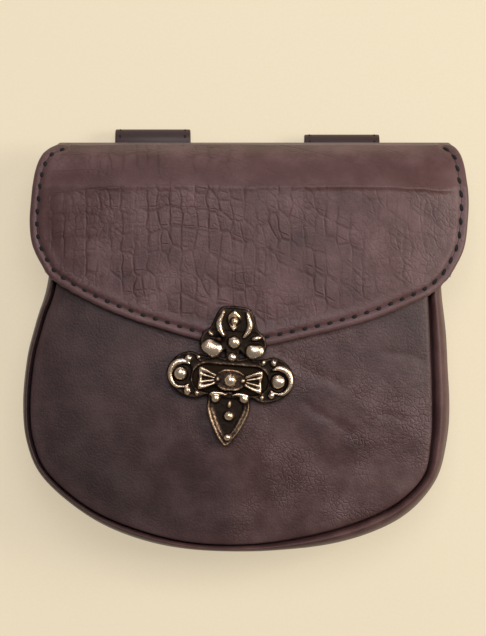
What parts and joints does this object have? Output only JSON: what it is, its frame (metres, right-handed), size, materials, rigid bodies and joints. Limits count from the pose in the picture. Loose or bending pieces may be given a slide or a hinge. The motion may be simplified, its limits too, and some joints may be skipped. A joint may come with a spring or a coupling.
{
  "type": "belt bag",
  "caption": "Dark brown leather belt bag with a stitched pointed flap, belt loops on the back and a cast brass turn clasp, lying on its back.",
  "frame": {"origin": "middle of the bag's outline seen from above, on the surface that it lies on", "axes": "+Z out of the front of the bag, +Y towards the belt loops, +X to the right seen from the front"},
  "size_m": [0.1878, 0.179, 0.0515],
  "materials": {
    "front_leather": "fine pebbled dark brown hide, satin",
    "gusset_leather": "dark brown hide, turned in at its seams",
    "back_leather": "smooth dark brown hide",
    "flap_leather": "creased grey brown hide with a stitched edge",
    "loop_leather": "dark brown hide, stitched",
    "old_brass": "cast brass, dark in the hollows and worn bright on top"
  },
  "bodies": {
    "bag": {"front_panel": "front_leather", "gusset": "gusset_leather", "back_panel": "back_leather", "flap": "flap_leather", "belt_loop_left": "loop_leather", "belt_loop_right": "loop_leather", "clasp_plate": "old_brass", "turn_base": "old_brass"},
    "turn_bow": {"turn_bow": "old_brass"}
  },
  "joints": [
    {"name": "bow_turn", "type": "hinge", "parent": "bag", "child": "turn_bow", "pos_m": [-0.0061, -0.0166, 0.04309], "axis": [-0.0027, -0.0348, 0.9994], "range_deg": [0, 90]}
  ]
}
